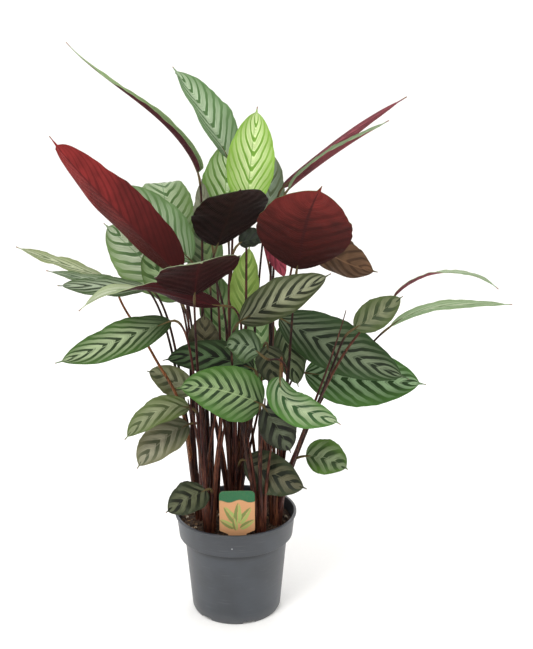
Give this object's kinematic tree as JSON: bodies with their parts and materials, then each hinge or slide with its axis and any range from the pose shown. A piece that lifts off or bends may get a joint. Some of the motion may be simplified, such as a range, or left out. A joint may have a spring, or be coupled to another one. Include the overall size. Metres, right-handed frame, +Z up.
{
  "type": "potted never never plant",
  "caption": "Tall bushy foliage plant with long upright brown stalks and feather-striped green leaves, maroon underneath, in a grey plastic nursery pot with soil and a plant label.",
  "frame": {"origin": "middle of the pot's foot, on the surface that the pot stands on", "axes": "+Z up along the pot's axis, -Y toward the viewer of the picture, +X to the viewer's right"},
  "size_m": [0.8294, 0.5005, 0.9594],
  "materials": {
    "pot_plastic": "satin blue-grey",
    "potting_soil": "loose dark peat",
    "tag_card": "printed plastic label",
    "stem_brown": "smooth brown stalk",
    "leaf_green": "satin striped leaf, maroon underneath"
  },
  "bodies": {
    "root": {"leaf_big_dark_right": "leaf_green", "leaf_big_low_right": "leaf_green", "leaf_black_front": "leaf_green", "leaf_bright_behind": "leaf_green", "leaf_brown_hanging": "leaf_green", "leaf_dark_hanging": "leaf_green", "leaf_dark_left": "leaf_green", "leaf_dark_low": "leaf_green", "leaf_far_left_back": "leaf_green", "leaf_far_left_high": "leaf_green", "leaf_far_left_striped": "leaf_green", "leaf_folded_left": "leaf_green", "leaf_front_bright": "leaf_green", "leaf_front_pointing": "leaf_green", "leaf_green_behind": "leaf_green", "leaf_grey_low_left": "leaf_green", "leaf_left_behind": "leaf_green", "leaf_left_big": "leaf_green", "leaf_left_maroon": "leaf_green", "leaf_left_pale": "leaf_green", "leaf_left_round": "leaf_green", "leaf_left_small": "leaf_green", "leaf_left_twisted": "leaf_green", "leaf_long_arch_right": "leaf_green", "leaf_long_twisted_right": "leaf_green", "leaf_olive_centre": "leaf_green", "leaf_olive_left": "leaf_green", "leaf_olive_right": "leaf_green", "leaf_over_rim": "leaf_green", "leaf_pink_hanging": "leaf_green", "leaf_red_front": "leaf_green", "leaf_right_folded": "leaf_green", "leaf_right_grey": "leaf_green", "leaf_silver_front": "leaf_green", "leaf_small_centre": "leaf_green", "leaf_small_dark": "leaf_green", "leaf_small_low_right": "leaf_green", "leaf_striped_behind": "leaf_green", "leaf_striped_hanging": "leaf_green", "leaf_top_back": "leaf_green", "leaf_top_bright": "leaf_green", "leaf_top_dull": "leaf_green", "leaf_top_grey": "leaf_green", "leaf_top_hidden": "leaf_green", "leaf_top_left_rolled": "leaf_green", "leaf_upper_right_back": "leaf_green", "leaf_upper_right_front": "leaf_green", "leaf_yellow_behind": "leaf_green", "plant_tag": "tag_card", "pot": "pot_plastic", "shoot_centre": "stem_brown", "shoot_east": "stem_brown", "shoot_north": "stem_brown", "shoot_north_east": "stem_brown", "shoot_north_west": "stem_brown", "shoot_south": "stem_brown", "shoot_south_east": "stem_brown", "shoot_south_west": "stem_brown", "shoot_west": "stem_brown", "soil": "potting_soil"}
  },
  "joints": []
}
